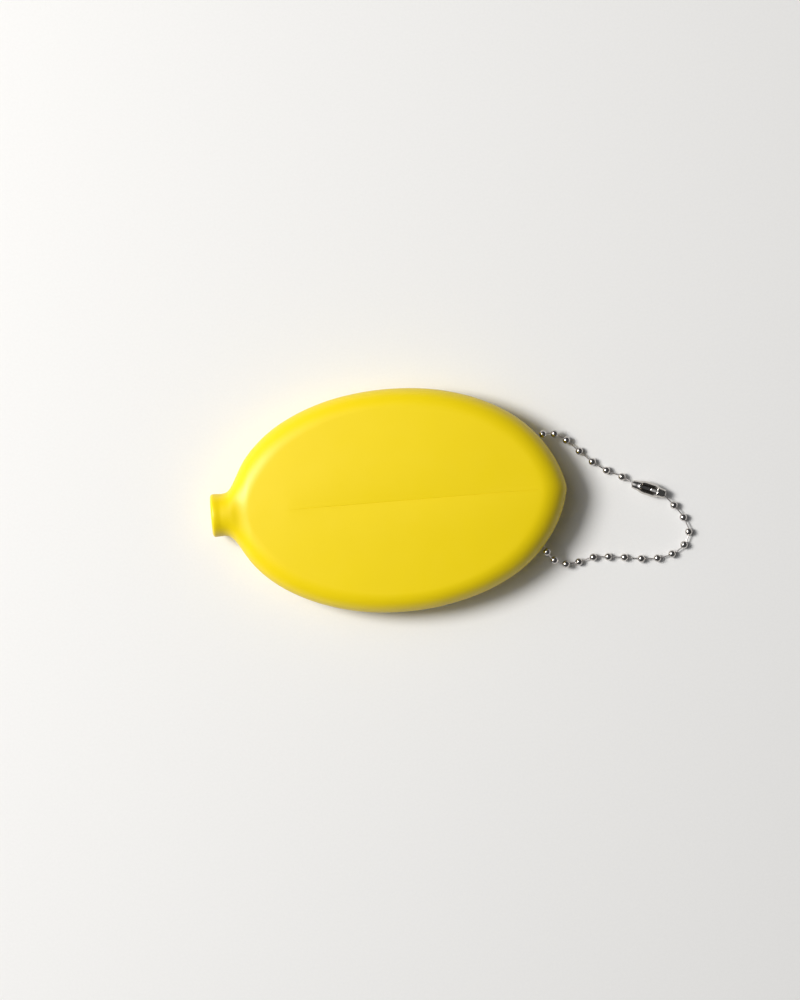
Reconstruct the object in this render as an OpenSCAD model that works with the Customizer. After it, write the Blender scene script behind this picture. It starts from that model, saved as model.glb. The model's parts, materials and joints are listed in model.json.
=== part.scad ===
// Oval squeeze coin purse with a slit mouth, an open neck and a ball chain.
// The purse lies on its back with the mouth up. +X runs along the purse towards
// its pointed tip, +Y across it, and +Z up. The origin is at the middle of the
// small flat patch that the purse rests on.

/* [Purse] */
// Middle of the purse to the pointed tip
tip_reach = 43.5; // [38:0.5:50]
// Middle of the purse to the end of the neck
neck_reach = 49.2; // [48:0.2:54]
// Middle of the purse to where its oval ends inside the neck
oval_reach = 46.8; // [44:0.2:47]
// Width of the purse
purse_w = 58; // [52:0.5:64]
// Thickness of the purse at its middle
purse_t = 14; // [12.5:0.5:18]
// Radius of the rounded rim between the two faces
rim_r = 5.6; // [4:0.1:6]
// How pointed the tip is: the shift of the two discs that shape the oval
tip_shift = 4; // [2:0.5:6]
// Thickness of the vinyl
wall = 1.8; // [1.2:0.1:2.4]
// How far the resting patch is flattened into the back face
patch_depth = 0.1; // [0.05:0.05:0.3]

/* [Mouth] */
// Length of the slit
slit_len = 67; // [50:1:70]
// Middle of the slit along the purse
slit_x = 3.8; // [0:0.2:5]
// Width of each lip at its widest
lip_w = 11; // [8:0.5:14]
// Running gap between a lip and the shell
lip_gap = 0.2; // [0.15:0.05:0.4]
// Gap between the closed lips at the outer face
slit_gap = 0.1; // [0.06:0.02:0.3]
// How far the slit's faces lean back from each other below the outer face
slit_bevel = 0.35; // [0.3:0.05:0.6]
// Depth of the shallow valley along the slit
valley_depth = 0.6; // [0.3:0.1:0.8]
// Half width of the valley
valley_w = 8; // [5:0.5:10]
// Middle of the slit to each end of the valley
valley_l = 33; // [26:1:34]

/* [Neck] */
// Outer radius of the neck
neck_r = 5.35; // [4.8:0.05:6]
// Radius of the hole through the neck
neck_bore_r = 3.3; // [2.5:0.1:3.6]
// Radius of the thick ring at the neck's end
neck_ring_r = 5.6; // [5.4:0.05:6.4]
// Length of the thick ring
neck_ring_l = 1.2; // [0.6:0.1:2]
// Radius of the fillet at the neck's root
neck_fillet = 2.2; // [1.5:0.1:2.6]
// How far the neck runs on inside the oval
neck_overlap = 6.8; // [6:0.1:8]

/* [Chain] */
// Radius of a bead
bead_r = 1; // [0.95:0.01:1.04]
// Thickness of a bead's sheet
bead_wall = 0.12; // [0.08:0.01:0.13]
// Radius of the two holes in a bead
bead_hole_r = 0.22; // [0.2:0.01:0.23]
// Radius of a link's wire
link_r = 0.16; // [0.12:0.01:0.17]
// Radius of the upset head on each end of a link
head_r = 0.24; // [0.235:0.005:0.25]
// Length of a link between the middles of its heads
link_len = 3.21; // [3.16:0.01:3.24]
// Radius of the two holes that the chain threads through the rim
rim_hole_r = 1.35; // [1.25:0.05:1.6]

/* [Clasp] */
// Clasp middle to the middle of the bead in each end
clasp_bead_x = 3.75; // [3.6:0.05:3.85]
// Radius of the clasp's barrel at its middle
clasp_mid_r = 1.75; // [1.6:0.05:1.75]
// Clearance between a held bead and the barrel
clasp_clear = 0.06; // [0.04:0.01:0.1]
// Thickness of the clasp's sheet
clasp_wall = 0.16; // [0.12:0.01:0.2]
// How far the barrel reaches past the middle of each held bead
clasp_lip = 0.7; // [0.65:0.01:0.75]
// Radius of the opening that the bead shows through at each end
clasp_mouth_r = 0.9; // [0.88:0.01:0.94]
// Length of the window in the barrel
window_len = 4.4; // [3.6:0.2:4.8]
// Width of the window
window_w = 2.1; // [1.6:0.1:2.3]
// Length of the tongue that keeps the beads apart
tongue_len = 2; // [1.4:0.1:2.4]

/* [Hidden] */
FINE = 96;
ROUND = 48;
vinyl = [0.96, 0.85, 0.02];
nickel = [0.78, 0.78, 0.8];
brass = [0.72, 0.7, 0.66];

// Height of the middle plane, which leaves the flat patch at z = 0.
mid_z = purse_t / 2 - patch_depth;
// The oval is what two stretched discs share.
disc_r = purse_w / 2 + tip_shift;
disc_reach = sqrt(disc_r * disc_r - tip_shift * tip_shift);
tip_stretch = tip_reach / disc_reach;
neck_stretch = oval_reach / disc_reach;
// Large arc of each face. It crosses the rim's circle just inside their tangent point,
// at join_turn round the circle, so that the two meet in a clean edge.
flat_r = disc_r - rim_r;
half_t = purse_t / 2;
join_turn = 3.5;
join_r = flat_r + rim_r * sin(join_turn);
join_drop = half_t - rim_r * cos(join_turn);
face_arc = (join_r * join_r + join_drop * join_drop) / (2 * join_drop);
rim_turn = atan2(flat_r, face_arc - half_t);
// A lip is a segment of a circle through the slit's two ends.
lip_arc = (slit_len * slit_len / 4 + lip_w * lip_w) / (2 * lip_w);
// How far the face lies above its middle, which is below zero, at a place along the purse
function face_rise(x) = -pow(x / (x > 0 ? tip_stretch : neck_stretch), 2) / (2 * face_arc);
// The valley is the track of a large round cutter. Its arc is flatter than the face and
// meets it at both ends, so that the valley fades out there. It is drawn short and
// stretched along the purse.
valley_cut = valley_w * valley_w / (2 * valley_depth);
valley_low = face_rise(slit_x) - valley_depth;
rise_tip = face_rise(slit_x + valley_l);
rise_neck = face_rise(slit_x - valley_l);
valley_arc = valley_l * valley_l / (2 * valley_low - rise_tip - rise_neck);
valley_tilt = atan((rise_neck - rise_tip) / (2 * valley_l));
valley_stretch = 3;
cutter_arc = valley_arc / pow(valley_stretch, 2);
cutter_turn = 2 * asin(1.1 * valley_l / valley_stretch / cutter_arc);
reach = 1.5 * neck_reach;
// The neck starts inside the oval, where the purse is already as thick as the neck.
neck_start = oval_reach - neck_overlap;
fillet_h = neck_r - 0.2;

// Bead middles along the loop, chosen by hand. Bead 1 is the first outside the upper
// rim hole and bead 23 the last before the lower one. Beads 8 and 9 are in the clasp.
first_out = 1;
last_out = 23;
clasp_in = 8;
clasp_out = 9;
clasp_mid = [64.9, -2.25, 1.75];
clasp_turn = -22.4;
clasp_dir = [cos(clasp_turn), sin(clasp_turn), 0];
BEADS = [
  [34.95, 11.9, 5.5],
  [38.45, 14.25, 4.8],
  [41.5, 14.1, 2.9],
  [44.5, 12.2, 1.5],
  [47.65, 9.1, 1],
  [50.8, 6.05, 1],
  [54.3, 3.5, 1],
  [58.2, 1.5, 1.2],
  clasp_mid - clasp_bead_x * clasp_dir,
  clasp_mid + clasp_bead_x * clasp_dir,
  [71.1, -7, 1.2],
  [73.3, -10.35, 1],
  [74.4, -14.2, 1],
  [72.9, -17.5, 1],
  [69.6, -19.6, 1],
  [65.7, -20.4, 1],
  [61.5, -20.2, 1],
  [57.15, -19.5, 1],
  [52.95, -19, 1],
  [49.05, -18.8, 1],
  [45.2, -19.7, 1],
  [41.75, -20, 2],
  [38.8, -18.7, 3.9],
  [37, -16.4, 5.9],
  [35.2, -12.45, 6.25],
  [33.3, -8.75, 4.95],
  [32, -4.65, 4.2],
  [31.6, -0.35, 4.1],
  [31.85, 4, 4.3],
  [32.85, 8.2, 4.9]
];
COUNT = len(BEADS);

function two(i) = str(i < 10 ? "0" : "", i);
function unit(v) = v / norm(v);
function bead_at(i) = BEADS[(i + COUNT) % COUNT];
// A bead turns its holes halfway between its two links. A clasped bead has one link.
function bead_dir(i) =
  i == clasp_in ? unit(bead_at(i) - bead_at(i - 1)) :
  i == clasp_out ? unit(bead_at(i + 1) - bead_at(i)) :
  unit(bead_at(i + 1) - bead_at(i - 1));
// Middle of the sheet at a hole, from the bead's middle.
hole_reach = (sqrt(pow(bead_r, 2) - pow(bead_hole_r, 2))
  + sqrt(pow(bead_r - bead_wall, 2) - pow(bead_hole_r, 2))) / 2;
function hole_back(i) = bead_at(i) - hole_reach * bead_dir(i);
function hole_front(i) = bead_at(i) + hole_reach * bead_dir(i);

LINKS_OUT = [for (i = [first_out:last_out - 1]) if (i != clasp_in) i];

// Half section of a stretched disc, from its middle out to its rounded rim.
module disc_half(inset) {
  r = rim_r - inset;
  dome = face_arc - inset;
  intersection() {
    union() {
      translate([flat_r, 0]) circle(r = r, $fn = FINE);
      intersection() {
        translate([0, half_t - face_arc]) circle(r = dome, $fn = 1440);
        translate([0, face_arc - half_t]) circle(r = dome, $fn = 1440);
        translate([0, -half_t]) square([flat_r + r * sin(rim_turn), 2 * half_t]);
      }
    }
    translate([0, -half_t]) square([disc_r, 2 * half_t]);
  }
}

// What the two shifted discs share, on one side of the middle.
module oval_side(inset, stretch) {
  intersection_for (side = [-1, 1])
    translate([0, side * tip_shift, 0])
      scale([stretch, 1, 1])
        rotate_extrude($fn = 2 * FINE) disc_half(inset);
}

module oval(inset) {
  translate([0, 0, mid_z]) {
    intersection() {
      oval_side(inset, tip_stretch);
      translate([0, -reach, -reach]) cube([reach, 2 * reach, 2 * reach]);
    }
    intersection() {
      oval_side(inset, neck_stretch);
      translate([-reach, -reach, -reach]) cube([reach, 2 * reach, 2 * reach]);
    }
  }
}

// Turned section of the neck with its end ring. It starts inside the oval.
module neck_section() {
  translate([0, neck_start]) square([neck_r, neck_reach - neck_start]);
  translate([0, neck_reach - neck_ring_l]) square([neck_ring_r, neck_ring_l]);
}

// Turned section of the fillet at the neck's root.
module fillet_section() {
  root = oval_reach - neck_fillet / 2;
  difference() {
    translate([0, neck_start]) square([neck_r + neck_fillet, root - neck_start]);
    translate([neck_r + neck_fillet, root]) circle(r = neck_fillet, $fn = ROUND);
  }
}

// The fillet spreads across the purse but stays just under the neck's height.
module neck() {
  translate([0, 0, mid_z])
    rotate([0, -90, 0]) {
      rotate_extrude($fn = FINE) neck_section();
      intersection() {
        rotate_extrude($fn = FINE) fillet_section();
        scale([1, (neck_r + neck_fillet) / fillet_h, 1]) cylinder(r = fillet_h, h = neck_reach, $fn = FINE);
      }
    }
}

module neck_bore() {
  translate([-neck_reach - 1, 0, mid_z])
    rotate([0, 90, 0])
      cylinder(r = neck_bore_r, h = neck_reach + 1 - oval_reach + 2 * wall + 3, $fn = FINE);
}

module valley() {
  translate([slit_x, 0, mid_z + half_t + valley_low])
    rotate([0, valley_tilt, 0])
      scale([valley_stretch, 1, 1])
        translate([0, 0, -cutter_arc])
          rotate([90, -90 + cutter_turn / 2, 0])
            rotate_extrude(angle = cutter_turn, $fn = 8 * FINE)
              translate([cutter_arc + valley_cut, 0]) circle(r = valley_cut, $fn = 8 * FINE);
}

// Upright prism over both lips: what two large circles share.
module mouth(grow) {
  intersection_for (side = [-1, 1])
    translate([slit_x, side * (lip_w - lip_arc), mid_z])
      cylinder(r = lip_arc + grow, h = purse_t, $fn = 4 * FINE);
}

// Straight rod from one point to another.
module rod(from, to, r, sides = 24) {
  along(from, to - from) cylinder(r = r, h = norm(to - from), $fn = sides);
}

// Hole in the rim for the stretch of chain between two beads.
module rim_hole(inside, outside) {
  run = unit(bead_at(outside) - bead_at(inside));
  rod(bead_at(inside) - bead_r * run, bead_at(outside) + 2 * bead_r * run, rim_hole_r, ROUND);
}

module purse_body() {
  color(vinyl)
    difference() {
      union() {
        oval(0);
        neck();
      }
      oval(wall);
      neck_bore();
      mouth(lip_gap);
      rim_hole(0, first_out);
      rim_hole(last_out + 1, last_out);
      translate([-reach, -reach, -reach]) cube([2 * reach, 2 * reach, reach]);
    }
}

// One lip: side is 1 for the upper and -1 for the lower.
module lip(side) {
  color(vinyl)
    intersection() {
      difference() {
        oval(0);
        oval(wall);
        valley();
      }
      mouth(0);
      rotate([90, 0, 90])
        translate([0, 0, -reach])
          linear_extrude(2 * reach)
            polygon([
              [side * slit_gap / 2, 2 * purse_t],
              [side * slit_gap / 2, mid_z + half_t - valley_depth],
              [side * (slit_gap / 2 + slit_bevel), mid_z + half_t - valley_depth - wall],
              [side * (slit_gap / 2 + slit_bevel), mid_z],
              [side * 2 * lip_w, mid_z],
              [side * 2 * lip_w, 2 * purse_t]
            ]);
    }
}

// Turns what is drawn upright so that it runs in a direction from a point.
module along(from, run) {
  translate(from)
    rotate([0, acos(run[2] / norm(run)), atan2(run[1], run[0])])
      children();
}

// Hollow bead, turned about the line through its two holes.
module bead(i) {
  color(nickel)
    along(bead_at(i), bead_dir(i))
      rotate_extrude($fn = ROUND)
        difference() {
          circle(r = bead_r, $fn = ROUND);
          circle(r = bead_r - bead_wall, $fn = ROUND);
          translate([-2 * bead_r, -2 * bead_r]) square([2 * bead_r + bead_hole_r, 4 * bead_r]);
        }
}

// Wire from bead i to the next, with its two heads inside the beads.
module link(i) {
  run = unit(hole_back(i + 1) - hole_front(i));
  middle = (hole_back(i + 1) + hole_front(i)) / 2;
  color(brass)
    along(middle, run)
      rotate_extrude($fn = 32)
        difference() {
          union() {
            translate([-link_r, -link_len / 2]) square([2 * link_r, link_len]);
            for (side = [-1, 1])
              translate([0, side * link_len / 2]) circle(r = head_r, $fn = 32);
          }
          translate([-2 * head_r, -link_len]) square([2 * head_r, 2 * link_len]);
        }
}

// Section of the barrel: a bulged tube with a lip turned in at each end.
module barrel_section() {
  end_x = clasp_bead_x + clasp_lip;
  end_r = bead_r + clasp_clear + clasp_wall;
  bulge = (end_x * end_x + pow(clasp_mid_r - end_r, 2)) / (2 * (clasp_mid_r - end_r));
  difference() {
    intersection() {
      translate([clasp_mid_r - bulge, 0]) circle(r = bulge, $fn = 8 * FINE);
      translate([0, -end_x]) square([2 * clasp_mid_r, 2 * end_x]);
    }
    intersection() {
      translate([clasp_mid_r - bulge, 0]) circle(r = bulge - clasp_wall, $fn = 8 * FINE);
      translate([0, clasp_wall - end_x]) square([2 * clasp_mid_r, 2 * (end_x - clasp_wall)]);
    }
    translate([0, -2 * end_x]) square([clasp_mouth_r, 4 * end_x]);
  }
}

module window() {
  translate([0, 0, clasp_mid_r / 4])
    linear_extrude(2 * clasp_mid_r)
      union() {
        square([window_len - window_w, window_w], center = true);
        for (side = [-1, 1])
          translate([side * (window_len - window_w) / 2, 0]) circle(r = window_w / 2, $fn = ROUND);
      }
}

module tongue() {
  width = window_w / 2;
  drop = clasp_mid_r - clasp_wall;
  translate([window_len / 2 + clasp_wall, 0, drop - clasp_wall / 4])
    rotate([0, -18, 0])
      translate([-tongue_len, -width / 2, -clasp_wall])
        cube([tongue_len, width, clasp_wall]);
}

module clasp() {
  color(nickel)
    translate(clasp_mid)
      rotate([0, 0, clasp_turn]) {
        difference() {
          rotate([0, 90, 0]) rotate_extrude($fn = FINE) barrel_section();
          window();
        }
        tongue();
      }
}

module hidden_beads() {
  for (i = [last_out + 1:COUNT]) bead(i % COUNT);
}

module hidden_links() {
  for (i = [last_out:COUNT]) link(i % COUNT);
}

purse_body();
lip(1);  // upper_lip
lip(-1);  // lower_lip
clasp();
hidden_beads();
hidden_links();
for (i = [first_out:last_out])
  bead(i);
for (i = LINKS_OUT)
  link(i);
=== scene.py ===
"""Dresses the squeeze coin purse: soft vinyl skin, ball chain, clasp, light and camera."""

import json
import math

import bmesh
import bpy
import numpy as np
from mathutils import Matrix, Vector


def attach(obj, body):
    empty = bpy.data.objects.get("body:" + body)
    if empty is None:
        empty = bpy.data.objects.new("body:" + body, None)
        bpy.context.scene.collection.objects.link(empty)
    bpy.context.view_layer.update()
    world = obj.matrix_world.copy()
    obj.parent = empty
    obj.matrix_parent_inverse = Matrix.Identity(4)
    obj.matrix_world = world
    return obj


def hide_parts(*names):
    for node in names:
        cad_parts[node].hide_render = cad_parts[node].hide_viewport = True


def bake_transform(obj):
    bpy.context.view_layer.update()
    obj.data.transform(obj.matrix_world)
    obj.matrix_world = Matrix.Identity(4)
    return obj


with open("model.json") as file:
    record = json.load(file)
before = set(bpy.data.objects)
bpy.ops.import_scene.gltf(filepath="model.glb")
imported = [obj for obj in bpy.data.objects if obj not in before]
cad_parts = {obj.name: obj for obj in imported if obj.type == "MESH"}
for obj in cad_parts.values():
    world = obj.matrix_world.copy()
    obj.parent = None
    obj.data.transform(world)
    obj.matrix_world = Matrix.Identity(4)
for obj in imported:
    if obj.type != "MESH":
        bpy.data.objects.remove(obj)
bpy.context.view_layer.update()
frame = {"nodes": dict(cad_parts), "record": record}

MM = 0.001

# Purse sizes, in mm.
MID_Z = 6.9
HALF_T = 7.0
DISC_R = 33.0
LOBE_SHIFT = 4.0
RIM_R = 5.6
FLAT_R = DISC_R - RIM_R
# The face's arc touches the rim's circle at JOIN_R.
FACE_ARC = 274.43
JOIN_R = 27.97
# The plain disc is stretched along the purse. The two stretches meet round its middle.
TIP_STRETCH = 1.328
NECK_STRETCH = 1.4287
STRETCH_MEET = 8.0
TIP_X = 43.5
TIP_ROUND = 1.0
NECK_END = -49.2
END_ROUND = 0.7
WALL = 1.8
# How much thicker the wall is in the neck.
NECK_WALL = 0.4

# A section of half width PEAK_WIDTH is half round and half peaked.
PEAK_WIDTH = 8.0
PEAK_ROUND = 2.5
LEAST_WIDTH = 0.05

# Changes towards the neck, as place and length: the outline, the section and the end's flare.
OUTLINE_CHANGE = (-33.5, 3.5)
SECTION_CHANGE = (-39.0, 5.0)
FLARE_CHANGE = (-46.6, 1.6)
# The neck's upright radius, and how much it grows at the end.
NECK_R = 5.35
NECK_FLARE = 0.2

# The slit: its middle and half length, and how far the flaps around it reach.
SLIT_X = 3.8
SLIT_HALF = 33.5
FLAP_W = 11.0
# The flaps' border runs in straight stretches: share of the slit's half length, how steeply
# the reach falls from there on.
FLAP_BENDS = [(0.0, 0.0), (0.1, 0.4), (0.3, 0.9), (0.55, 1.4), (0.8, 1.725)]
# The slit's gap, the rounding of its edges and how far its walls lean apart inside. Each
# gets smaller where the flap reaches less than the fade.
SLIT_GAP = 0.006
GAP_FADE = 1.0
EDGE_R = 0.05
EDGE_FADE = 1.5
SLIT_BEVEL = 0.35
BEVEL_FADE = 3.0
VALLEY_DEPTH = 0.5
VALLEY_W = 9.5
VALLEY_L = 33.0
VALLEY_POWER = 1.2

# How finely the skin is divided.
TIP_ROWS = 40
FLAP_ROWS = 49
NECK_ROWS = 80
TOP_COLS = 52
BACK_COLS = 48
FLAP_COLS = 27
EDGE_STEPS = (0.0, 0.04, 0.12, 0.25, 0.42, 0.62, 0.82, 1.0)
LIP_STEPS = 12
# Where the skin's inside starts to turn round the tip.
TIP_TURN_X = 36.0
# The wall goes straight down near the slit. This fades out past its ends and across.
DOWN_PAST = 3.0
DOWN_SHARE = 0.5
DOWN_FADE = 0.3
# Points this close together are one, and this close to the flaps' border lie on it.
SEAM_WELD = 2e-3
SLIT_MARGIN = 0.01
# A face is on the front where its normal points up more than this.
FRONT_UP = 0.1
# The extra width fades out this close to the tip.
EXTRA_FADE = 2.5

# How much wider than two plain arcs each side of the outline is, along the purse.
UPPER_EXTRA = [
    (-38, 0.40), (-30, 0.72), (-18, 0.60), (-6, 0.33), (4, 0.20), (14, 0.30),
    (24, 0.50), (32, 0.66), (38, 0.45), (41, 0.25), (43.5, 0.0),
]
LOWER_EXTRA = [
    (-38, -0.25), (-30, 0.06), (-20, 0.10), (-10, 0.03), (4, -0.18), (12, -0.18),
    (22, 0.08), (32, 0.40), (38, 0.20), (41, 0.10), (43.5, 0.0),
]
# Half width of the purse's end and the neck.
UPPER_NECK = [
    (-49.2, 5.6), (-48.2, 5.68), (-47.4, 5.64), (-46.2, 5.58), (-45.4, 5.68), (-44.6, 6.0),
    (-43.8, 6.78), (-43, 8.0), (-42.2, 9.42), (-41, 11.62), (-39.8, 13.5), (-38.2, 15.5),
    (-36.6, 17.15), (-35, 18.57), (-34, 19.4), (-33, 20.15),
]
LOWER_NECK = [
    (-49.2, 5.4), (-48.2, 5.5), (-47.4, 5.46), (-46.2, 5.4), (-45.4, 5.52), (-44.6, 5.88),
    (-43.8, 6.58), (-43, 7.65), (-42.2, 8.98), (-41, 11.05), (-39.8, 12.87), (-38.2, 14.88),
    (-36.6, 16.55), (-35, 18.0), (-34, 18.83), (-33, 19.58),
]

# Bead middles along the loop, in mm. Beads 1 to 23 are outside the purse.
CLASP_MID = Vector((64.9, -2.25, 1.75))
CLASP_TURN = math.radians(-22.4)
CLASP_DIR = Vector((math.cos(CLASP_TURN), math.sin(CLASP_TURN), 0))
CLASP_BEAD_X = 3.75
BEADS = [Vector(p) for p in [
    (34.95, 11.9, 5.5), (38.45, 14.25, 4.8), (41.5, 14.1, 2.9), (44.5, 12.2, 1.5),
    (47.65, 9.1, 1), (50.8, 6.05, 1), (54.3, 3.5, 1), (58.2, 1.5, 1.2),
    CLASP_MID - CLASP_BEAD_X * CLASP_DIR, CLASP_MID + CLASP_BEAD_X * CLASP_DIR,
    (71.1, -7, 1.2), (73.3, -10.35, 1), (74.4, -14.2, 1), (72.9, -17.5, 1),
    (69.6, -19.6, 1), (65.7, -20.4, 1), (61.5, -20.2, 1), (57.15, -19.5, 1),
    (52.95, -19, 1), (49.05, -18.8, 1), (45.2, -19.7, 1), (41.75, -20, 2),
    (38.8, -18.7, 3.9), (37, -16.4, 5.9), (35.2, -12.45, 6.25), (33.3, -8.75, 4.95),
    (32, -4.65, 4.2), (31.6, -0.35, 4.1), (31.85, 4, 4.3), (32.85, 8.2, 4.9),
]]
CLASP_IN = 8
CLASP_OUT = 9
LAST_OUT = 23
BEAD_R = 1.0
BEAD_WALL = 0.12
BEAD_HOLE_R = 0.22
LINK_R = 0.16
HEAD_R = 0.24
LINK_LEN = 3.21
# The shell rolls in round a bead's holes: outer and inner radius, and the roll itself as
# places along the bead and radii.
BEAD_OPEN_R = 0.30
BEAD_OPEN_IN_R = 0.235
BEAD_ROLL = [(0.93, 0.255), (0.90, 0.228), (0.86, BEAD_HOLE_R)]
# The seam round a bead's waist: depth in mm and width in degrees.
SEAM_DEPTH = 0.012
SEAM_TURN = 1.6
# A link's head ends at HEAD_TURN degrees. Beside it the wire is drawn down to this share.
HEAD_TURN = 42
DRAWN_SHARE = 0.94
DRAWN_X = 0.5
RIM_HOLE_R = 1.35
# The cutter of a rim hole starts before the inner bead and ends past the outer one.
CUT_BEFORE = 1.0
CUT_PAST = 2.0

# The clasp's barrel, in mm.
CLASP_MID_R = 1.75
CLASP_END_X = CLASP_BEAD_X + 0.7
CLASP_END_R = 1.22
CLASP_WALL = 0.16
CLASP_ROUND_R = 0.08
CLASP_MOUTH_R = 0.9
MOUTH_BEVEL = (0.03, 0.04)
INSIDE_SHORT = 0.4
# Its bulge falls off inwards of BULGE_X, and its ends taper from TAPER_X on.
BULGE_X = 3.35
BULGE_LEN = 2.1
TAPER = 0.18
TAPER_X = 3.3
TAPER_LEN = 1.15
TAPER_POWER = 1.5
# Its window, the window's rolled rim, and the tongue inside.
WINDOW_LEN = 4.9
WINDOW_W = 2.3
WINDOW_CUT_Z = (0.4, 3.0)
ROLL_R = 0.13
ROLL_OUT = 0.03
ROLL_SINK = 0.05
TONGUE_W = 0.9
TONGUE_T = 0.15
TONGUE_LEN = 2.15
TONGUE_UNDER = 0.2
TONGUE_SINK = 0.12
TONGUE_DROP = 0.22
TONGUE_TAPER = 0.3

# Floor, light and camera. The photo's turn and scale place the camera.
PHOTO_TURN = math.radians(4.68)
PHOTO_ROWS = 1000
PHOTO_SHIFT = 0.7
PIXEL = 0.26 * MM
LENS = 250
SENSOR = 36
FLOOR_HALF = 6000
# Where the key lamp is, in degrees and as the direction the sky glows in.
KEY_AZIMUTH = 161.5
KEY_ELEVATION = 48
KEY_WAY = (-0.634, 0.212, 0.743)
SKY_COLOR = (0.96, 0.975, 1.0, 1)
SKY_DIM = 0.075
SKY_GLOW = 1.3
GLOW_FROM = 0.75


# Small maths.
def smoothstep(t):
    """0 up to 0, 1 from 1 on, and smooth between."""
    t = np.clip(t, 0.0, 1.0)
    return t * t * (3 - 2 * t)


def smooth_table(points):
    """A smooth curve through the points that never overshoots them."""
    xs = np.array([p[0] for p in points], float)
    ys = np.array([p[1] for p in points], float)
    step = np.diff(xs)
    rise = np.diff(ys) / step
    slope = np.zeros_like(ys)
    slope[0], slope[-1] = rise[0], rise[-1]
    for i in range(1, len(xs) - 1):
        if rise[i - 1] * rise[i] > 0:
            a = 2 * step[i] + step[i - 1]
            b = step[i] + 2 * step[i - 1]
            slope[i] = (a + b) / (a / rise[i - 1] + b / rise[i])

    def at(x):
        x = np.clip(np.asarray(x, float), xs[0], xs[-1])
        i = np.clip(np.searchsorted(xs, x, side="right") - 1, 0, len(xs) - 2)
        t = (x - xs[i]) / step[i]
        return (
            ys[i] * (1 + 2 * t) * (1 - t) ** 2
            + slope[i] * step[i] * t * (1 - t) ** 2
            + ys[i + 1] * t * t * (3 - 2 * t)
            + slope[i + 1] * step[i] * t * t * (t - 1)
        )

    return at


extra = {1: smooth_table(UPPER_EXTRA), -1: smooth_table(LOWER_EXTRA)}
neck_width = {1: smooth_table(UPPER_NECK), -1: smooth_table(LOWER_NECK)}


# The purse's skin.
def towards_neck(x, place, length):
    """0 on the tip's side of the place, 1 from the length further towards the neck."""
    return smoothstep((place - np.asarray(x, float)) / length)


def plain_x(x):
    """Place along the unstretched disc."""
    x = np.asarray(x, float)
    share = smoothstep((x + STRETCH_MEET) / (2 * STRETCH_MEET))
    return x / (NECK_STRETCH + (TIP_STRETCH - NECK_STRETCH) * share)


def half_width(x, side):
    """Half width of the purse at x, on one side of its middle line."""
    x = np.asarray(x, float)
    plain = np.sqrt(np.maximum(DISC_R**2 - plain_x(x) ** 2, LOBE_SHIFT**2)) - LOBE_SHIFT
    # The blunt tip is rounded by a small circle's worth.
    back = np.maximum(TIP_X - x, 0)
    plain = np.sqrt(plain**2 + 2 * TIP_ROUND * np.minimum(back, 1) * np.exp(-back))
    oval = plain + extra[side](x) * np.clip((TIP_X - x) / EXTRA_FADE, 0, 1)
    near = towards_neck(x, *OUTLINE_CHANGE)
    return oval * (1 - near) + neck_width[side](x) * near


def oval_height(x, q, width):
    """Height of the oval's face over its middle plane; q is 0 in the middle, 1 at the rim."""
    low = plain_x(x) ** 2 + LOBE_SHIFT**2
    e = PEAK_ROUND / np.maximum(width, LEAST_WIDTH)
    peaked = (1 + e) * q * q / (q + e)
    share = (width * q * q + PEAK_WIDTH * peaked) / (width + PEAK_WIDTH)
    rest = np.maximum(1 - share, 0)
    gap = (DISC_R**2 - low) * rest
    r = np.sqrt(np.maximum(DISC_R**2 - gap, 0))
    dome = HALF_T - (FACE_ARC - np.sqrt(np.maximum(FACE_ARC**2 - r**2, 0)))
    rim = np.sqrt(np.maximum(gap / (DISC_R + r) * (r - FLAT_R + RIM_R), 0))
    return np.where(r < JOIN_R, dome, rim)


def neck_share(x):
    """0 on the oval, 1 on the round neck."""
    return towards_neck(x, *SECTION_CHANGE)


def neck_radius(x):
    """Upright radius of the neck, which grows a little at its end."""
    return NECK_R + NECK_FLARE * towards_neck(x, *FLARE_CHANGE)


def section_height(x, q, side):
    """Height of the skin over its middle plane at x, q."""
    width = half_width(x, side)
    oval = oval_height(x, q, width)
    ring = neck_radius(x) * np.sqrt(np.maximum(1 - q * q, 0))
    m = neck_share(x)
    return oval * (1 - m) + ring * m


def valley(x, y):
    """Depth of the shallow valley whose two sides meet at the slit."""
    along = np.clip(1 - ((x - SLIT_X) / VALLEY_L) ** 2, 0, 1) ** VALLEY_POWER
    across = np.clip(1 - np.abs(y) / VALLEY_W, 0, 1) ** 2
    return VALLEY_DEPTH * along * across


def top_z(x, y):
    """Outer height of the front face at x, y."""
    x = np.asarray(x, float)
    y = np.asarray(y, float)
    up = section_height(x, np.clip(np.abs(y) / half_width(x, 1), 0, 1), 1)
    low = section_height(x, np.clip(np.abs(y) / half_width(x, -1), 0, 1), -1)
    return MID_Z + np.where(y >= 0, up, low) - valley(x, y)


def wall_at(x):
    """Thickness of the vinyl, which grows a little in the neck."""
    return WALL + NECK_WALL * neck_share(x)


def top_normal(x, y):
    """The front face's direction at x, y, from its heights a small step apart."""
    h = 0.02
    dx = (top_z(x + h, y) - top_z(x - h, y)) / (2 * h)
    dy = (top_z(x, y + h) - top_z(x, y - h)) / (2 * h)
    n = np.stack([-dx, -dy, np.ones_like(dx)], -1)
    return n / np.linalg.norm(n, axis=-1, keepdims=True)


def flap_fall():
    """The stretches of the flaps' border: start, end, steepness and the fall at the start."""
    rows, fall = [], 0.0
    for i, (start, steep) in enumerate(FLAP_BENDS):
        end = FLAP_BENDS[i + 1][0] if i + 1 < len(FLAP_BENDS) else 1.0
        rows.append((start, end, steep, fall))
        fall += steep * (end - start)
    return rows


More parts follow.
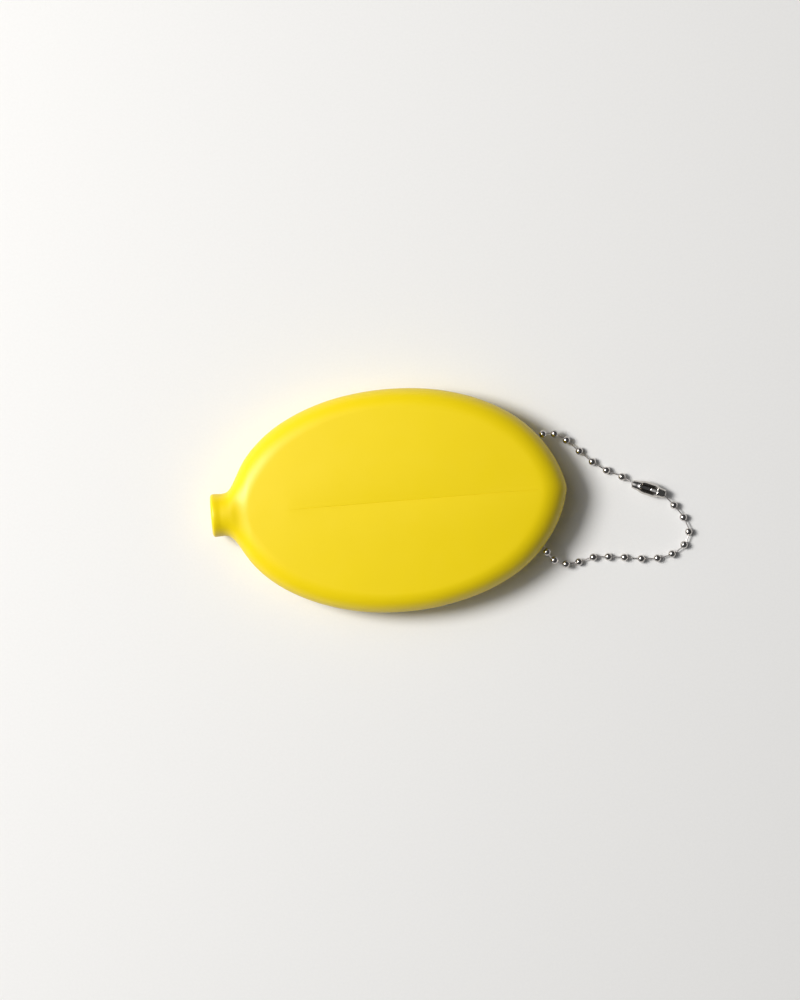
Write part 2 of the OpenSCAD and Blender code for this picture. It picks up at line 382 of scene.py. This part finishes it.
def flap_reach(x):
    """How far the flap reaches from the slit at x."""
    u = np.clip(np.abs(np.asarray(x, float) - SLIT_X) / SLIT_HALF, 0, 1)
    reach = np.zeros_like(u)
    for start, end, steep, fall in flap_fall():
        reach = np.where((u >= start) & (u <= end), 1 - fall - steep * (u - start), reach)
    return FLAP_W * np.where(u > 1 - 1e-6, 0.0, np.maximum(reach, 0.0))


def grid_faces(rows, cols, base, flip=False):
    """Quads of a grid of points that starts at base."""
    faces = []
    for i in range(rows - 1):
        for j in range(cols - 1):
            a = base + i * cols + j
            quad = [a, a + 1, a + cols + 1, a + cols]
            faces.append(quad[::-1] if flip else quad)
    return faces


def ring_faces(a, b, sides):
    """Quads between two closed rings of points that start at a and b."""
    return [[a + k, a + (k + 1) % sides, b + (k + 1) % sides, b + k] for k in range(sides)]


def strip_faces(one, other):
    """Quads between two rows of point numbers."""
    return [[one[j], other[j], other[j + 1], one[j + 1]] for j in range(len(one) - 1)]


def mesh_object(name, verts, faces, weld=1e-4):
    """Object from points in mm. Points closer than weld mm become one."""
    mesh = bpy.data.meshes.new(name)
    bm = bmesh.new()
    points = [bm.verts.new(Vector(v) * MM) for v in verts]
    for f in faces:
        bm.faces.new([points[i] for i in f])
    bmesh.ops.remove_doubles(bm, verts=bm.verts, dist=weld * MM)
    bmesh.ops.dissolve_degenerate(bm, edges=bm.edges, dist=weld * MM * 0.5)
    loose = [v for v in bm.verts if not v.link_faces]
    bmesh.ops.delete(bm, geom=loose, context="VERTS")
    bmesh.ops.recalc_face_normals(bm, faces=bm.faces)
    bm.to_mesh(mesh)
    bm.free()
    obj = bpy.data.objects.new(name, mesh)
    bpy.context.scene.collection.objects.link(obj)
    return obj


def smooth_shade(obj, angle):
    """Shade smoothly, apart from edges sharper than the angle in degrees."""
    mesh = obj.data
    mesh.polygons.foreach_set("use_smooth", [True] * len(mesh.polygons))
    bm = bmesh.new()
    bm.from_mesh(mesh)
    for e in bm.edges:
        e.smooth = len(e.link_faces) == 2 and e.calc_face_angle(0) < math.radians(angle)
    bm.to_mesh(mesh)
    bm.free()
    mesh.update()


def edge_radius(reach):
    """Rounding of a lip's edge where its flap reaches this far."""
    return EDGE_R * np.minimum(1.0, reach / EDGE_FADE)


def edge_drop(x, y):
    """Drop of the rounded lip edge at x, y, and the sine of how far it has turned."""
    r = edge_radius(flap_reach(x))
    curl = np.clip((r - np.abs(y)) / np.maximum(r, 1e-9), 0, 1)
    return r * (1 - np.sqrt(np.maximum(1 - curl**2, 0))), curl


def on_border(x, y):
    """Whether x, y lies on the flaps' border."""
    return np.abs(np.abs(y) - flap_reach(x)) < SEAM_WELD


def on_flap(x, y):
    """Whether x, y lies on a flap or its border."""
    return np.abs(y) < flap_reach(x) + SEAM_WELD


def match_seam_normals(obj, where):
    """Give the front faces' corners at the places that where() picks the surface's own normal."""
    mesh = obj.data
    co = np.empty(len(mesh.vertices) * 3)
    mesh.vertices.foreach_get("co", co)
    co = co.reshape(-1, 3) / MM
    x, y, z = co[:, 0], co[:, 1], co[:, 2]
    inside = np.abs(x - SLIT_X) < SLIT_HALF + SLIT_MARGIN
    drop, curl = edge_drop(x, y)
    on = inside & where(x, y) & (np.abs(z - top_z(x, y) + drop) < SEAM_WELD)
    flat = top_normal(x[on], y[on])
    turn = curl[on][:, None]
    toward = np.zeros_like(flat)
    toward[:, 1] = -np.sign(y[on])
    bent = np.zeros_like(co)
    bent[on] = flat * np.sqrt(np.maximum(1 - turn**2, 0)) + toward * turn
    corner = np.empty(len(mesh.loops), np.int32)
    mesh.loops.foreach_get("vertex_index", corner)
    faces = len(mesh.polygons)
    sides, face_normal = np.empty(faces, np.int32), np.empty(faces * 3)
    mesh.polygons.foreach_get("loop_total", sides)
    mesh.polygons.foreach_get("normal", face_normal)
    front = np.repeat(face_normal.reshape(-1, 3)[:, 2] > FRONT_UP, sides)
    use = front & on[corner]
    normals = np.zeros((len(corner), 3))
    normals[use] = bent[corner[use]]
    mesh.normals_split_custom_set([tuple(n) for n in normals])


def stations():
    """Places along the purse, closer together at the tip and the neck."""
    turn = np.linspace(0, math.pi / 2, TIP_ROWS)
    tip = TIP_X - (TIP_X - SLIT_X - SLIT_HALF) * (1 - np.sin(turn))
    share = np.concatenate([np.linspace(0, 1, FLAP_ROWS), [row[0] for row in FLAP_BENDS]])
    flap_tip = SLIT_X + SLIT_HALF * share
    flap_neck = SLIT_X - SLIT_HALF * share
    neck = np.linspace(NECK_END + END_ROUND, SLIT_X - SLIT_HALF, NECK_ROWS)
    return np.unique(np.round(np.concatenate([neck, flap_neck, flap_tip, tip]), 6))


def side_rows(side, xs):
    """Outer and inner points of one side of the purse, row by row along it."""
    outer, inner = [], []
    for x in xs[:-1]:
        width = float(half_width(x, side))
        start = math.asin(min(1.0, float(flap_reach(x)) / max(width, 1e-6)))
        top = np.linspace(start, math.pi / 2, TOP_COLS)
        back = np.linspace(math.pi / 2, math.pi, BACK_COLS)[1:]
        turn = np.concatenate([top, back])
        front = turn <= math.pi / 2 + 1e-9
        q = np.abs(np.sin(turn))
        q[-1] = 0.0
        y = width * q
        height = section_height(np.full_like(q, x), q, side)
        up = MID_Z + height - valley(x, y)
        z = np.where(front, up, MID_Z - height)
        # A small flat on the back, where the purse rests.
        outer.append(np.stack([np.full_like(y, x), side * y, np.maximum(z, 0.0)], -1))
        inner.append(inner_row(x, q, y, z, front, side))
    # The tip itself is one point, outside and inside.
    for rows, reach in ((outer, TIP_X), (inner, TIP_X - WALL)):
        rows.append(np.tile((reach, 0.0, MID_Z), (len(rows[0]), 1)))
    return np.array(outer), np.array(inner)


def inner_row(x, q, y, z, front, side):
    """One row moved inwards by the wall; towards the tip the move turns along the purse."""
    turn = math.pi / 2 * float(smoothstep((x - TIP_TURN_X) / (TIP_X - TIP_TURN_X)))
    wall = float(wall_at(x))
    dy, dz = np.gradient(y), np.gradient(z)
    length = np.maximum(np.hypot(dy, dz), 1e-9)
    ny, nz = -dz / length, dy / length
    # The rim points straight out, the middle of the back straight down.
    edge = int(np.argmax(q))
    ny[edge], nz[edge] = 1.0, 0.0
    ny[-1], nz[-1] = 0.0, -1.0
    # Near the slit the wall goes straight down, as on the flaps.
    near = float(smoothstep((SLIT_HALF + DOWN_PAST - abs(x - SLIT_X)) / DOWN_PAST))
    straight = near * np.where(front, 1 - smoothstep((q - DOWN_SHARE) / DOWN_FADE), 0.0)
    if q[0] < 1e-6:
        ny[0], nz[0] = 0.0, 1.0
    ny, nz = ny * (1 - straight), nz * (1 - straight) + straight
    length = np.maximum(np.hypot(ny, nz), 1e-9)
    step = wall * math.cos(turn)
    in_y = np.maximum(y - step * ny / length, 0.0)
    in_z = z - step * nz / length
    in_x = np.full_like(y, x - wall * math.sin(turn))
    return np.stack([in_x, side * in_y, in_z], -1)


def neck_lip(verts, faces, out_row, in_row):
    """Rounded end of the neck, from the outer row's points to the inner row's."""
    previous = out_row
    for k in range(1, LIP_STEPS):
        t = math.pi * k / LIP_STEPS
        here = []
        for a, b in zip(out_row, in_row):
            p = Vector(verts[a]).lerp(Vector(verts[b]), (1 - math.cos(t)) / 2)
            p.x -= END_ROUND * math.sin(t)
            here.append(len(verts))
            verts.append(tuple(p))
        faces += strip_faces(previous, here)
        previous = here
    faces += strip_faces(previous, in_row)


def body_skin():
    """The whole purse apart from the flaps beside the slit."""
    xs = stations()
    rows, cols = len(xs), TOP_COLS + BACK_COLS - 1
    verts, faces = [], []
    for side in (1, -1):
        outer, inner = side_rows(side, xs)
        base, base_in = len(verts), len(verts) + rows * cols
        verts += [tuple(p) for p in outer.reshape(-1, 3)]
        verts += [tuple(p) for p in inner.reshape(-1, 3)]
        faces += grid_faces(rows, cols, base) + grid_faces(rows, cols, base_in, flip=True)
        # Wall along the flap's border.
        for i in range(rows - 1):
            if xs[i] >= SLIT_X - SLIT_HALF - 1e-6 and xs[i + 1] <= SLIT_X + SLIT_HALF + 1e-6:
                a, b = i * cols, (i + 1) * cols
                faces.append([base + a, base + b, base_in + b, base_in + a])
        neck_lip(verts, faces, range(base, base + cols), range(base_in, base_in + cols))
    return mesh_object("purse_skin", verts, faces, weld=SEAM_WELD)


def flap(name, side, low, high):
    """One stretch of the flap on one side of the slit, from x low to x high."""
    xs = stations()
    xs = xs[(xs >= low - 1e-5) & (xs <= high + 1e-5)]
    edge = np.array(EDGE_STEPS)
    rest = np.linspace(0, 1, FLAP_COLS)[1:]
    outer = []
    for x in xs:
        reach = float(flap_reach(x))
        r = edge_radius(reach)
        y = side * np.concatenate([edge * r, r + (reach - r) * rest])
        along = np.full_like(y, x)
        z = top_z(along, y) - edge_drop(along, y)[0]
        y[0] += side * SLIT_GAP / 2 * min(1.0, reach / GAP_FADE)
        outer.append(np.stack([along, y, z], -1))
    outer = np.array(outer)
    rows, cols = outer.shape[:2]
    inner = outer.copy()
    reaches = np.asarray(flap_reach(xs))
    wall = np.asarray(wall_at(xs))[:, None]
    inner[..., 2] = top_z(outer[..., 0], outer[..., 1]) - wall
    t = np.clip(np.abs(outer[..., 1]) / np.maximum(reaches, 1e-9)[:, None], 0, 1)
    lean = SLIT_BEVEL * np.minimum(1, reaches / BEVEL_FADE)[:, None] * (1 - t)
    inner[..., 1] += side * lean
    verts = list(outer.reshape(-1, 3)) + list(inner.reshape(-1, 3))
    n = rows * cols
    faces = grid_faces(rows, cols, 0) + grid_faces(rows, cols, n, flip=True)
    for i in range(rows - 1):
        a, b = i * cols, (i + 1) * cols
        faces.append([a, b, n + b, n + a])
        a, b = i * cols + cols - 1, (i + 1) * cols + cols - 1
        faces.append([a, n + a, n + b, b])
    for row in (0, rows - 1):
        for j in range(cols - 1):
            a, b = row * cols + j, row * cols + j + 1
            faces.append([a, n + a, n + b, b] if row == 0 else [a, b, n + b, n + a])
    return mesh_object(name, verts, faces)


# Turned pieces.
def turned(name, profile, axis_from, axis_dir, sides):
    """Surface turned about an axis. profile is a closed or open run of (along, radius) in mm."""
    turn = axis_dir.normalized().to_track_quat("X", "Z").to_matrix()
    closed = profile[0] == profile[-1]
    run = profile[:-1] if closed else profile
    verts, faces = [], []
    for a, r in run:
        for k in range(sides):
            t = 2 * math.pi * k / sides
            p = turn @ Vector((a, r * math.cos(t), r * math.sin(t)))
            verts.append(tuple(axis_from + p))
    for i in range(len(run) if closed else len(run) - 1):
        faces += ring_faces(i * sides, (i + 1) % len(run) * sides, sides)
    return mesh_object(name, verts, faces)


def arc(centre, radius, start, end, steps):
    """Points on an arc, as (along, radius), angles in degrees from the axis."""
    out = []
    for i in range(steps + 1):
        t = math.radians(start + (end - start) * i / steps)
        out.append((centre[0] + radius * math.cos(t), centre[1] + radius * math.sin(t)))
    return out


def bead_at(i):
    """Middle of a bead; the numbers run on round the loop."""
    return BEADS[i % len(BEADS)]


def bead_dir(i):
    """The chain's direction at a bead. In the clasp's ends it is that of the free side."""
    if i == CLASP_IN:
        return (bead_at(i) - bead_at(i - 1)).normalized()
    if i == CLASP_OUT:
        return (bead_at(i + 1) - bead_at(i)).normalized()
    return (bead_at(i + 1) - bead_at(i - 1)).normalized()


def bead_piece(i):
    """Hollow bead with rolled-in hole edges and a fine seam round its waist."""
    open_out = math.degrees(math.asin(BEAD_OPEN_R / BEAD_R))
    outer = []
    steps = 40
    for k in range(steps + 1):
        t = open_out + (180 - 2 * open_out) * k / steps
        r = BEAD_R - SEAM_DEPTH * math.exp(-(((t - 90) / SEAM_TURN) ** 2))
        outer.append((r * math.cos(math.radians(t)), r * math.sin(math.radians(t))))
    inner_r = BEAD_R - BEAD_WALL
    open_in = math.degrees(math.asin(BEAD_OPEN_IN_R / inner_r))
    inside = arc((0, 0), inner_r, 180 - open_in, open_in, 14)
    profile = outer + [(-a, r) for a, r in BEAD_ROLL] + inside + BEAD_ROLL[::-1]
    profile.append(profile[0])
    obj = turned(f"bead_{i:02d}_shell", profile, bead_at(i), bead_dir(i), 40)
    smooth_shade(obj, 50)
    return obj


def link_piece(i):
    """Wire with a head at each end, drawn down a little beside the heads."""
    reach = (math.sqrt(BEAD_R**2 - BEAD_HOLE_R**2)
             + math.sqrt((BEAD_R - BEAD_WALL) ** 2 - BEAD_HOLE_R**2)) / 2
    start = bead_at(i) + reach * bead_dir(i)
    end = bead_at(i + 1) - reach * bead_dir(i + 1)
    run = (end - start).normalized()
    middle = (start + end) / 2
    half = LINK_LEN / 2
    left = arc((-half, 0), HEAD_R, 180, HEAD_TURN, 8)
    right = arc((half, 0), HEAD_R, 180 - HEAD_TURN, 0, 8)
    neck = [(-half + HEAD_R, LINK_R), (-half + DRAWN_X, LINK_R * DRAWN_SHARE), (0, LINK_R),
            (half - DRAWN_X, LINK_R * DRAWN_SHARE), (half - HEAD_R, LINK_R)]
    obj = turned(f"link_{i:02d}_wire", left + neck + right, middle, run, 20)
    smooth_shade(obj, 60)
    return obj


def apply_modifiers(obj):
    """Give the object the mesh that its modifiers make."""
    depsgraph = bpy.context.evaluated_depsgraph_get()
    mesh = bpy.data.meshes.new_from_object(obj.evaluated_get(depsgraph))
    obj.modifiers.clear()
    old = obj.data
    obj.data = mesh
    bpy.data.meshes.remove(old)


def cut(obj, cutter):
    """Take the cutter out of the object, and then away."""
    mod = obj.modifiers.new("cut", "BOOLEAN")
    mod.operation = "DIFFERENCE"
    mod.solver = "EXACT"
    mod.object = cutter
    apply_modifiers(obj)
    bpy.data.objects.remove(cutter)


def bevel_edges(obj, width, angle):
    """Round the edges sharper than the angle in degrees, by a width in mm."""
    mod = obj.modifiers.new("edge", "BEVEL")
    mod.width = width * MM
    mod.segments = 2
    mod.limit_method = "ANGLE"
    mod.angle_limit = math.radians(angle)
    apply_modifiers(obj)


def clasp_frame(p):
    """A point of the clasp's own frame, placed on the chain."""
    turn = Matrix.Rotation(CLASP_TURN, 4, "Z")
    return tuple(CLASP_MID + turn @ Vector(p))


def barrel_radius(a):
    """Outer radius of the barrel at a place along it: a bulge between two tapered ends."""
    end = min(1.0, max(0.0, (abs(a) - TAPER_X) / TAPER_LEN))
    bulge = float(smoothstep((BULGE_X - abs(a)) / BULGE_LEN))
    return CLASP_END_R - TAPER * end**TAPER_POWER + (CLASP_MID_R - CLASP_END_R) * bulge


def window_path(steps, grow=0.0):
    """Outline of the window in the clasp's own frame, seen from above."""
    flat = (WINDOW_LEN - WINDOW_W) / 2
    out = []
    for k in range(steps):
        t = 2 * math.pi * (k + 0.5) / steps
        x = math.cos(t) * (WINDOW_W / 2 + grow)
        out.append((x + (flat if x > 0 else -flat), math.sin(t) * (WINDOW_W / 2 + grow)))
    return out


def clasp_rim():
    """Rolled rim round the window, lying on the barrel."""
    centre = []
    for x, y in window_path(96, ROLL_OUT):
        r = barrel_radius(x) - ROLL_SINK
        centre.append(Vector((x, y, math.sqrt(max(r * r - y * y, 0)))))
    n = len(centre)
    verts, faces = [], []
    sides = 10
    for i in range(n):
        ahead = (centre[(i + 1) % n] - centre[i - 1]).normalized()
        out = Vector((0, centre[i].y, centre[i].z)).normalized()
        across = ahead.cross(out).normalized()
        for k in range(sides):
            t = 2 * math.pi * k / sides
            offset = ROLL_R * (math.cos(t) * across + math.sin(t) * out)
            verts.append(clasp_frame(centre[i] + offset))
        faces += ring_faces(i * sides, (i + 1) % n * sides, sides)
    obj = mesh_object("clasp_rim", verts, faces)
    smooth_shade(obj, 80)
    return obj


def clasp_barrel():
    """Rolled sheet barrel with turned-in ends and an open window."""
    reach = CLASP_END_X - CLASP_ROUND_R
    steps = 60
    outer = []
    for k in range(steps + 1):
        a = -reach + 2 * reach * k / steps
        outer.append((a, barrel_radius(a)))
    end_r = outer[0][1]
    right = arc((reach, end_r - CLASP_ROUND_R), CLASP_ROUND_R, 75, 0, 5)
    right += [(CLASP_END_X, CLASP_MOUTH_R + MOUTH_BEVEL[1]),
              (CLASP_END_X - MOUTH_BEVEL[0], CLASP_MOUTH_R),
              (CLASP_END_X - CLASP_WALL, CLASP_MOUTH_R)]
    steps = 40
    inner = []
    for k in range(steps + 1):
        a = (CLASP_END_X - INSIDE_SHORT) * (1 - 2 * k / steps)
        inner.append((a, barrel_radius(a) - CLASP_WALL))
    left = [(-a, r) for a, r in reversed(right)]
    profile = outer + right + inner + left
    profile.append(profile[0])
    obj = turned("clasp_barrel", profile, CLASP_MID, CLASP_DIR, 96)
    # The window's cutter is an upright stadium.
    ring = window_path(48)
    n = len(ring)
    verts = [clasp_frame((x, y, z)) for z in WINDOW_CUT_Z for x, y in ring]
    faces = [list(range(n))[::-1], list(range(n, 2 * n))] + ring_faces(0, n, n)
    cut(obj, mesh_object("window_cut", verts, faces))
    bevel_edges(obj, 0.04, 50)
    smooth_shade(obj, 40)
    return obj


def clasp_tongue():
    """Bent strip inside the window that keeps the beads apart."""
    verts, faces = [], []
    steps = 12
    for k in range(steps + 1):
        t = k / steps
        x = WINDOW_LEN / 2 + TONGUE_UNDER - TONGUE_LEN * t
        high = CLASP_MID_R - CLASP_WALL - TONGUE_SINK - TONGUE_DROP * t
        low = high - TONGUE_T
        half = TONGUE_W * (1 - TONGUE_TAPER * t**3) / 2
        corners = ((-half, high), (half, high), (half, low), (-half, low))
        verts += [clasp_frame((x, y, z)) for y, z in corners]
    for i in range(steps):
        faces += ring_faces(4 * i, 4 * (i + 1), 4)
    last = 4 * steps
    faces += [[0, 1, 2, 3], [last + 3, last + 2, last + 1, last]]
    obj = mesh_object("clasp_tongue", verts, faces)
    bevel_edges(obj, 0.03, 30)
    smooth_shade(obj, 40)
    return obj


# Materials.
def new_material(name):
    """A material, its node tree and shader, and the socket with the object's coordinates."""
    mat = bpy.data.materials.new(name)
    mat.use_nodes = True
    tree = mat.node_tree
    place = tree.nodes.new("ShaderNodeTexCoord").outputs["Object"]
    return mat, tree, tree.nodes["Principled BSDF"], place


def noise(tree, place, scale, detail):
    """Socket with the value of a noise over the object."""
    node = tree.nodes.new("ShaderNodeTexNoise")
    node.inputs["Scale"].default_value = scale
    node.inputs["Detail"].default_value = detail
    tree.links.new(place, node.inputs["Vector"])
    return node.outputs["Fac"]


def tint(tree, shader, value, low, high):
    """Let the base colour wander between two colours."""
    mix = tree.nodes.new("ShaderNodeMix")
    mix.data_type = "RGBA"
    mix.inputs["A"].default_value = (*low, 1)
    mix.inputs["B"].default_value = (*high, 1)
    tree.links.new(value, mix.inputs["Factor"])
    tree.links.new(mix.outputs["Result"], shader.inputs["Base Color"])


def roughen(tree, shader, value, low, high):
    """Let the roughness wander between two levels."""
    spread = tree.nodes.new("ShaderNodeMapRange")
    spread.inputs["To Min"].default_value = low
    spread.inputs["To Max"].default_value = high
    tree.links.new(value, spread.inputs["Value"])
    tree.links.new(spread.outputs["Result"], shader.inputs["Roughness"])


def bump(tree, value, strength, distance):
    """A bump node with this height, strength and distance in m."""
    node = tree.nodes.new("ShaderNodeBump")
    node.inputs["Strength"].default_value = strength
    node.inputs["Distance"].default_value = distance
    tree.links.new(value, node.inputs["Height"])
    return node


def vinyl_material():
    """Soft glossy vinyl with a faint swell and a fine grain."""
    mat, tree, shader, place = new_material("soft_vinyl")
    cloud = noise(tree, place, scale=45.0, detail=3.0)
    tint(tree, shader, cloud, (0.885, 0.655, 0.0), (0.915, 0.69, 0.0))
    roughen(tree, shader, noise(tree, place, scale=260.0, detail=4.0), 0.36, 0.46)
    grain = noise(tree, place, scale=2600.0, detail=2.0)
    swell = noise(tree, place, scale=95.0, detail=1.0)
    under = bump(tree, swell, strength=0.25, distance=0.00025)
    over = bump(tree, grain, strength=0.18, distance=0.00003)
    tree.links.new(under.outputs["Normal"], over.inputs["Normal"])
    tree.links.new(over.outputs["Normal"], shader.inputs["Normal"])
    shader.inputs["IOR"].default_value = 1.5
    shader.inputs["Specular IOR Level"].default_value = 0.5
    return mat


def metal_material(name, low, high, rough, scale):
    """Plated metal with fine scratches. low and high are colours, rough a pair of levels."""
    mat, tree, shader, place = new_material(name)
    shader.inputs["Metallic"].default_value = 1.0
    cloud = noise(tree, place, scale, detail=4.0)
    tint(tree, shader, cloud, low, high)
    roughen(tree, shader, cloud, *rough)
    scratch = noise(tree, place, scale=3500.0, detail=3.0)
    over = bump(tree, scratch, strength=0.12, distance=0.00002)
    tree.links.new(over.outputs["Normal"], shader.inputs["Normal"])
    return mat


def floor_material():
    """Pale paper with a faint fibre."""
    mat, tree, shader, place = new_material("pale_paper")
    fibre = noise(tree, place, scale=1500.0, detail=5.0)
    tint(tree, shader, fibre, (0.83, 0.825, 0.815), (0.87, 0.865, 0.855))
    shader.inputs["Roughness"].default_value = 0.9
    over = bump(tree, fibre, strength=0.15, distance=0.0001)
    tree.links.new(over.outputs["Normal"], shader.inputs["Normal"])
    return mat


def dress(obj, material, slot, body, *nodes):
    """Give a piece its material and body, and hide the nodes that it replaces. The slot is not
    used.
    """
    obj.data.materials.clear()
    obj.data.materials.append(material)
    if body:
        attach(obj, body)
    if nodes:
        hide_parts(*nodes)


def rim_hole_cutter(name, inside, outside):
    """Round cutter along the chain, from a bead inside the purse to one outside."""
    way = bead_at(outside) - bead_at(inside)
    run = way.normalized()
    start = bead_at(inside) - CUT_BEFORE * run
    length = way.length + CUT_BEFORE + CUT_PAST
    profile = [(0, 0), (0, RIM_HOLE_R), (length, RIM_HOLE_R), (length, 0)]
    return turned(name, profile, start, run, 48)


def flap_pieces(side, lip):
    """The lip, built as one piece for each straight stretch of the flaps' border."""
    for number, (start, end, steep, fall) in enumerate(flap_fall()):
        if start == 0:
            stretches = [(0, "middle", -end, end)]
        else:
            stretches = [(1, f"tip_{number}", start, end), (-1, f"neck_{number}", -end, -start)]
        for half, part, low, high in stretches:
            ends = (SLIT_X + SLIT_HALF * low, SLIT_X + SLIT_HALF * high)
            piece = flap(f"{lip}_{part}", side, *ends)
            smooth_shade(piece, 50)
            match_seam_normals(piece, on_flap)
            dress(piece, VINYL, "vinyl", None, lip)
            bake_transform(piece)


def lamp(name, azimuth, elevation, distance, size, watts, color):
    """Round area lamp that looks at the origin. Angles in degrees, lengths in m."""
    data = bpy.data.lights.new(name, "AREA")
    data.shape = "DISK"
    data.size = size
    data.energy = watts
    data.color = color
    obj = bpy.data.objects.new(name, data)
    bpy.context.scene.collection.objects.link(obj)
    az, el = math.radians(azimuth), math.radians(elevation)
    toward = Vector((math.cos(az) * math.cos(el), math.sin(az) * math.cos(el), math.sin(el)))
    obj.location = toward * distance
    obj.rotation_euler = toward.to_track_quat("Z", "Y").to_euler()


VINYL = vinyl_material()
NICKEL = metal_material("bead_nickel", (0.56, 0.53, 0.51), (0.68, 0.65, 0.62), (0.10, 0.18), 900)
CLASP_METAL = metal_material(
    "clasp_nickel", (0.54, 0.51, 0.48), (0.68, 0.65, 0.61), (0.10, 0.2), 700)
WIRE = metal_material("link_wire", (0.60, 0.56, 0.54), (0.74, 0.70, 0.68), (0.26, 0.40), 1200)

# The purse.
skin = body_skin()
for name, inside, outside in (("hole_up", 0, 1), ("hole_down", LAST_OUT + 1, LAST_OUT)):
    cut(skin, rim_hole_cutter(name, inside, outside))
smooth_shade(skin, 42)
match_seam_normals(skin, on_border)
dress(skin, VINYL, "vinyl", "purse", "purse_body")
flap_pieces(1, "upper_lip")
flap_pieces(-1, "lower_lip")

# The chain and the clasp.
bodies = frame["record"]["behaviour"]["bodies"]
node_body = {node: body for body, nodes in bodies.items() for node in nodes}

for i in range(1, LAST_OUT + 1):
    node = f"bead_{i:02d}"
    dress(bead_piece(i), NICKEL, "bead", node_body[node], node)
for i in range(1, LAST_OUT):
    if i != CLASP_IN:
        node = f"link_{i:02d}"
        dress(link_piece(i), WIRE, "wire", node_body[node], node)
dress(clasp_barrel(), CLASP_METAL, "clasp", "clasp", "clasp")
dress(clasp_tongue(), CLASP_METAL, "clasp", "clasp")
dress(clasp_rim(), CLASP_METAL, "clasp", "clasp")

for node, material in (("hidden_beads", NICKEL), ("hidden_links", WIRE)):
    obj = frame["nodes"][node]
    obj.data.materials.clear()
    obj.data.materials.append(material)

# Floor, light and camera.
corners = [(-FLOOR_HALF, -FLOOR_HALF, 0), (FLOOR_HALF, -FLOOR_HALF, 0),
           (FLOOR_HALF, FLOOR_HALF, 0), (-FLOOR_HALF, FLOOR_HALF, 0)]
floor = mesh_object("floor", corners, [[0, 1, 2, 3]])
floor.data.materials.append(floor_material())

world = bpy.data.worlds.new("studio")
bpy.context.scene.world = world
world.use_nodes = True
sky_nodes, sky_links = world.node_tree.nodes, world.node_tree.links
sky = sky_nodes["Background"]
sky.inputs["Color"].default_value = SKY_COLOR
# A dim studio with a wide soft glow round the key lamp.
sky_way = sky_nodes.new("ShaderNodeTexCoord")
sky_dot = sky_nodes.new("ShaderNodeVectorMath")
sky_dot.operation = "DOT_PRODUCT"
sky_dot.inputs[1].default_value = KEY_WAY
sky_links.new(sky_way.outputs["Generated"], sky_dot.inputs[0])
sky_level = sky_nodes.new("ShaderNodeMapRange")
sky_level.interpolation_type = "SMOOTHSTEP"
sky_level.inputs["From Min"].default_value = GLOW_FROM
sky_level.inputs["From Max"].default_value = 1.0
sky_level.inputs["To Min"].default_value = SKY_DIM
sky_level.inputs["To Max"].default_value = SKY_GLOW
sky_links.new(sky_dot.outputs["Value"], sky_level.inputs["Value"])
sky_links.new(sky_level.outputs["Result"], sky.inputs["Strength"])

lamp("key", KEY_AZIMUTH, KEY_ELEVATION, distance=1.1, size=0.42, watts=12.0,
     color=(1.0, 0.985, 0.96))

camera_data = bpy.data.cameras.new("camera")
camera_data.lens = LENS
camera_data.sensor_fit = "VERTICAL"
camera_data.sensor_height = SENSOR
camera_data.clip_start = 0.05
camera_data.clip_end = 30
camera = bpy.data.objects.new("camera", camera_data)
bpy.context.scene.collection.objects.link(camera)
distance = PHOTO_ROWS * PIXEL * LENS / SENSOR
up = Vector((math.sin(PHOTO_TURN), math.cos(PHOTO_TURN), 0))
camera.location = up * (PHOTO_SHIFT * PIXEL) + Vector((0, 0, MID_Z * MM + distance))
camera.rotation_euler = (0, 0, -PHOTO_TURN)
bpy.context.scene.camera = camera
bpy.context.scene.view_settings.view_transform = "Standard"
